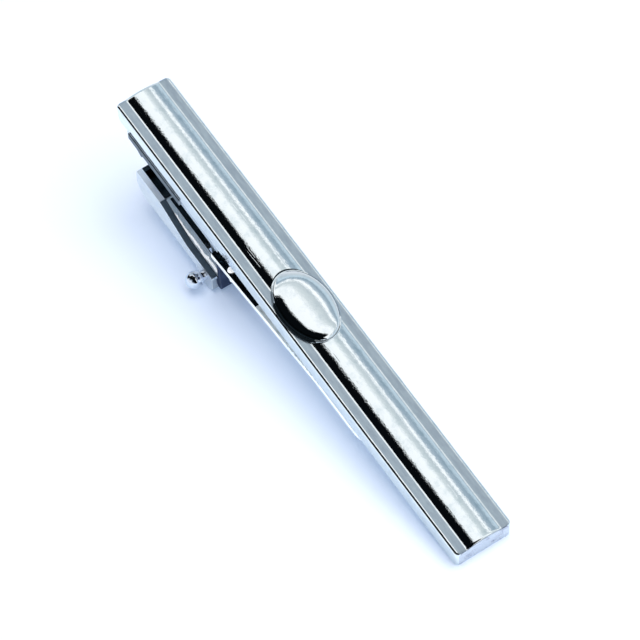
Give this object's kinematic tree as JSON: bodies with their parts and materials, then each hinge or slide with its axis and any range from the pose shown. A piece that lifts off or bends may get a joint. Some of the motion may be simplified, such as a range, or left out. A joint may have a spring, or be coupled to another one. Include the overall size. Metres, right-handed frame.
{
  "type": "tie clip",
  "caption": "Chrome tie clip: a slim front bar with a low rounded ridge and an oval dome, and a sprung lever and toothed jaw hinged on its back",
  "frame": {"origin": "the centre of the front bar's flat back face, in the gap that takes the tie", "axes": "+X along the bar towards the jaw's tip, +Y across the bar, +Z out of the bar's front face"},
  "size_m": [0.0604, 0.012, 0.0133],
  "materials": {
    "bar_chrome": "mirror polished",
    "dome_chrome": "mirror polished",
    "sheet_chrome": "bright plated sheet",
    "rivet_chrome": "bright plated",
    "spring_steel": "drawn wire"
  },
  "bodies": {
    "lever": {"thumb_lever": "sheet_chrome", "jaw_arm": "sheet_chrome", "jaw_strip": "sheet_chrome", "jaw_rivets": "rivet_chrome", "hinge_pin": "sheet_chrome", "pin_cap": "sheet_chrome", "torsion_spring": "spring_steel"},
    "front": {"front_bar": "bar_chrome", "oval_bezel": "bar_chrome", "oval_cabochon": "dome_chrome", "hinge_bracket": "sheet_chrome", "bracket_rivets": "rivet_chrome"}
  },
  "joints": [
    {"name": "clip_hinge", "type": "hinge", "parent": "lever", "child": "front", "pos_m": [-0.0137, 0, -0.0079], "axis": [0, -1, 0], "range_deg": [0, 19], "stiffness_Nm_per_rad": 0.03, "springref_deg": -60.16, "deforming": ["torsion_spring"]}
  ]
}
